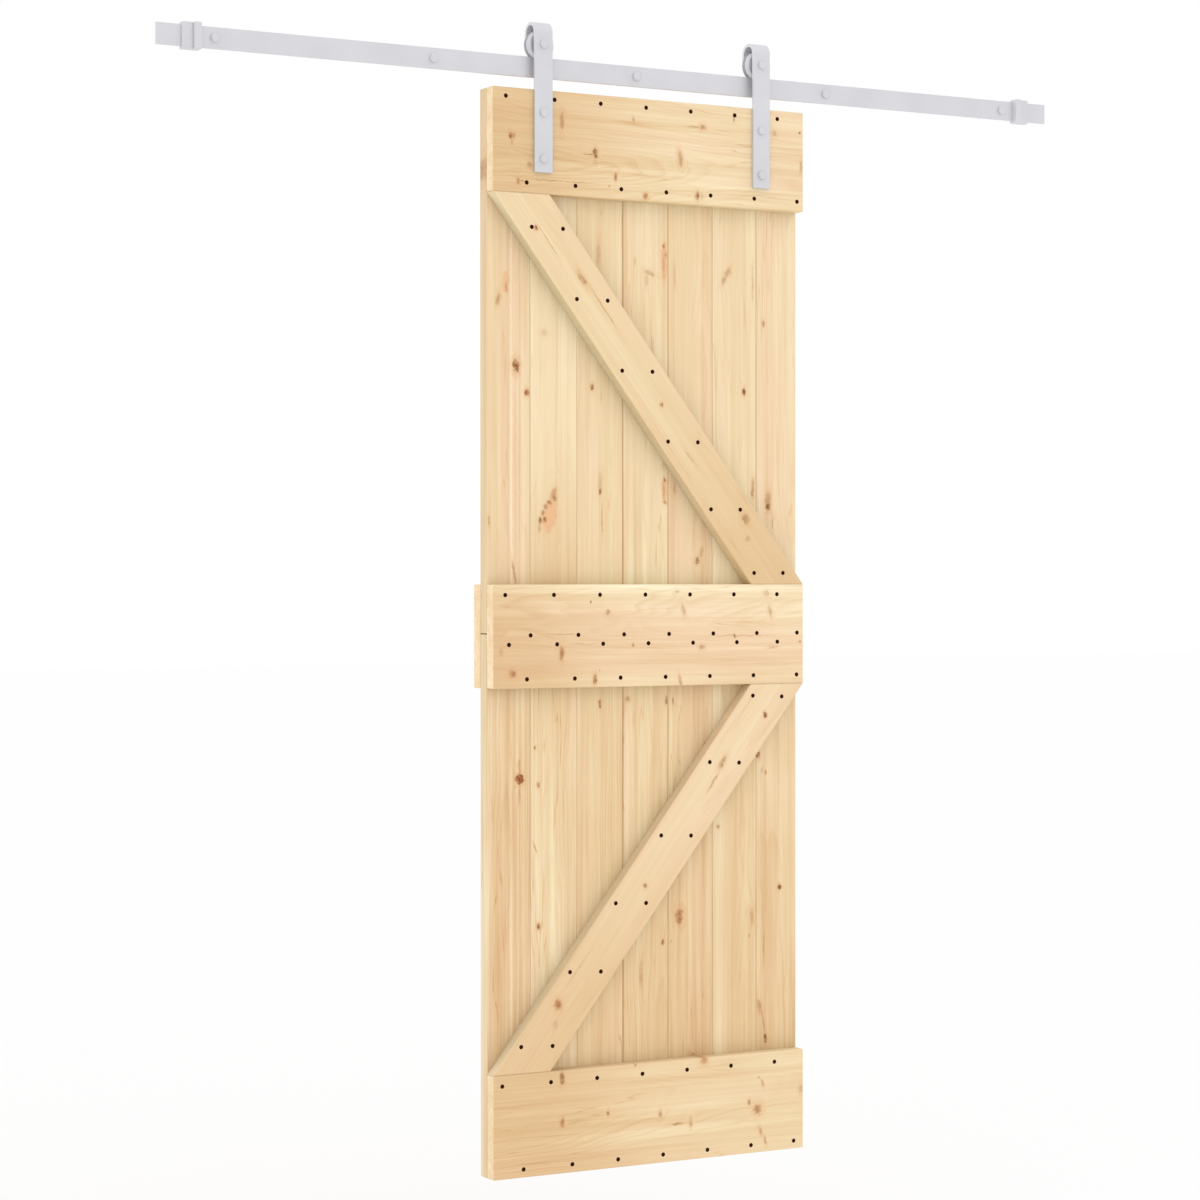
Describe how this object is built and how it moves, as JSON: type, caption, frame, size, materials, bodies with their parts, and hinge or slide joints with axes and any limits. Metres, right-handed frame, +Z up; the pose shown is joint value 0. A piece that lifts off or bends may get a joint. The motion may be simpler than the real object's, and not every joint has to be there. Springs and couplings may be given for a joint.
{
  "type": "sliding barn door with track",
  "caption": "Boarded pine barn door with rails and diagonal braces, hung by bent strap hangers and grooved wheels from a flat steel wall track with end stops.",
  "frame": {"origin": "middle of the centre spacer's wall face, level with the track's centre line", "axes": "+X along the track to the right as seen from the room, +Y into the wall, +Z up"},
  "size_m": [2, 0.102, 2.2351],
  "materials": {
    "pine_boards": "planed knotty pine, untreated",
    "pine_rails": "planed knotty pine, untreated",
    "painted_steel": "satin silver-grey powder coat",
    "bolt_steel": "satin silver-grey",
    "wheel_steel": "satin silver-grey, turned",
    "bumper": "matt grey rubber"
  },
  "bodies": {
    "track": {"track_rail": "painted_steel", "wall_spacer_1": "painted_steel", "wall_spacer_2": "painted_steel", "wall_spacer_3": "painted_steel", "wall_spacer_4": "painted_steel", "wall_spacer_5": "painted_steel", "track_bolt_1": "bolt_steel", "track_bolt_2": "bolt_steel", "track_bolt_3": "bolt_steel", "track_bolt_4": "bolt_steel", "track_bolt_5": "bolt_steel", "stop_clamp_left": "painted_steel", "stop_clamp_right": "painted_steel", "stop_bumper_left": "bumper", "stop_bumper_right": "bumper"},
    "door": {"upper_board_1": "pine_boards", "upper_board_2": "pine_boards", "upper_board_3": "pine_boards", "upper_board_4": "pine_boards", "upper_board_5": "pine_boards", "upper_board_6": "pine_boards", "upper_board_7": "pine_boards", "lower_board_1": "pine_boards", "lower_board_2": "pine_boards", "lower_board_3": "pine_boards", "lower_board_4": "pine_boards", "lower_board_5": "pine_boards", "lower_board_6": "pine_boards", "lower_board_7": "pine_boards", "top_rail": "pine_rails", "middle_rail": "pine_rails", "bottom_rail": "pine_rails", "back_rail": "pine_rails", "upper_brace": "pine_rails", "lower_brace": "pine_rails", "hanger_strap_left": "painted_steel", "hanger_strap_right": "painted_steel", "hanger_bolts_left": "bolt_steel", "hanger_bolts_right": "bolt_steel", "hanger_nuts_left": "bolt_steel", "hanger_nuts_right": "bolt_steel", "axle_left": "bolt_steel", "axle_right": "bolt_steel", "axle_nut_left": "bolt_steel", "axle_nut_right": "bolt_steel"},
    "wheel_left": {"wheel_left": "wheel_steel"},
    "wheel_right": {"wheel_right": "wheel_steel"}
  },
  "joints": [
    {"name": "door_slide", "type": "slide", "parent": "track", "child": "door", "axis": [1, 0, 0], "range_m": [-0.665, 0.602]},
    {"name": "wheel_left_spin", "type": "hinge", "parent": "door", "child": "wheel_left", "pos_m": [-0.2162, -0.075, 0.043], "axis": [0, 1, 0], "continuous": true},
    {"name": "wheel_right_spin", "type": "hinge", "parent": "door", "child": "wheel_right", "pos_m": [0.2788, -0.075, 0.043], "axis": [0, 1, 0], "continuous": true}
  ],
  "couplings": [
    {"joint": "wheel_left_spin", "follows": "door_slide", "rad_per_m": 43.478},
    {"joint": "wheel_right_spin", "follows": "door_slide", "rad_per_m": 43.478}
  ]
}
